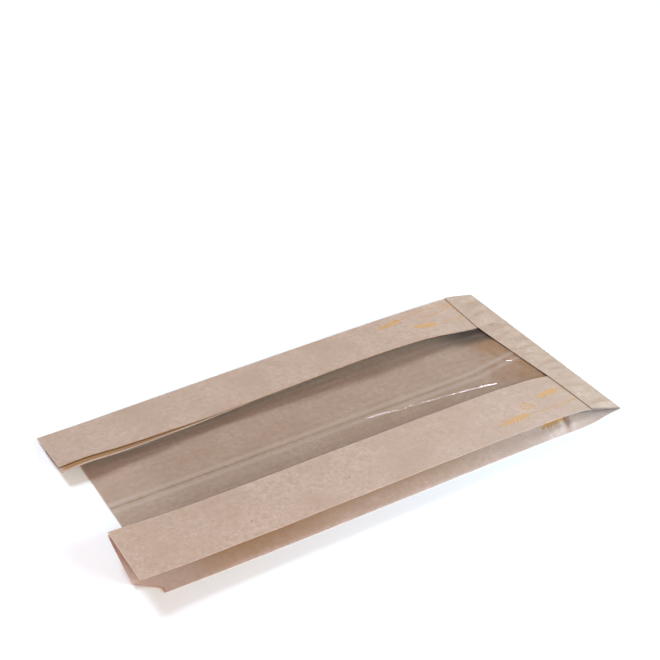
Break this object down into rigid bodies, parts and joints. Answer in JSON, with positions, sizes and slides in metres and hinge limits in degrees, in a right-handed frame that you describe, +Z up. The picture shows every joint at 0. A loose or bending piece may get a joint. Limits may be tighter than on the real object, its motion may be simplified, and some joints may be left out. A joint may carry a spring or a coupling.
{
  "type": "bread window bag",
  "caption": "Flat kraft paper bread bag with side gussets, a clear window film down its front, an open mouth and a folded, glued bottom flap.",
  "frame": {"origin": "middle of the bag's bottom face, which is the outside of the back panel", "axes": "+X along the bag from the open mouth to the folded bottom, +Y across the bag to the left-hand gusset, +Z up through the window"},
  "size_m": [0.3702, 0.1844, 0.0175],
  "materials": {
    "kraft_paper": "uncoated light brown kraft paper, matt, with fine fibre speckle",
    "clear_film": "thin clear glossy film with soft wrinkles"
  },
  "bodies": {
    "root": {"right_kraft_web": "kraft_paper", "left_kraft_web": "kraft_paper", "window_film": "clear_film"}
  },
  "joints": []
}
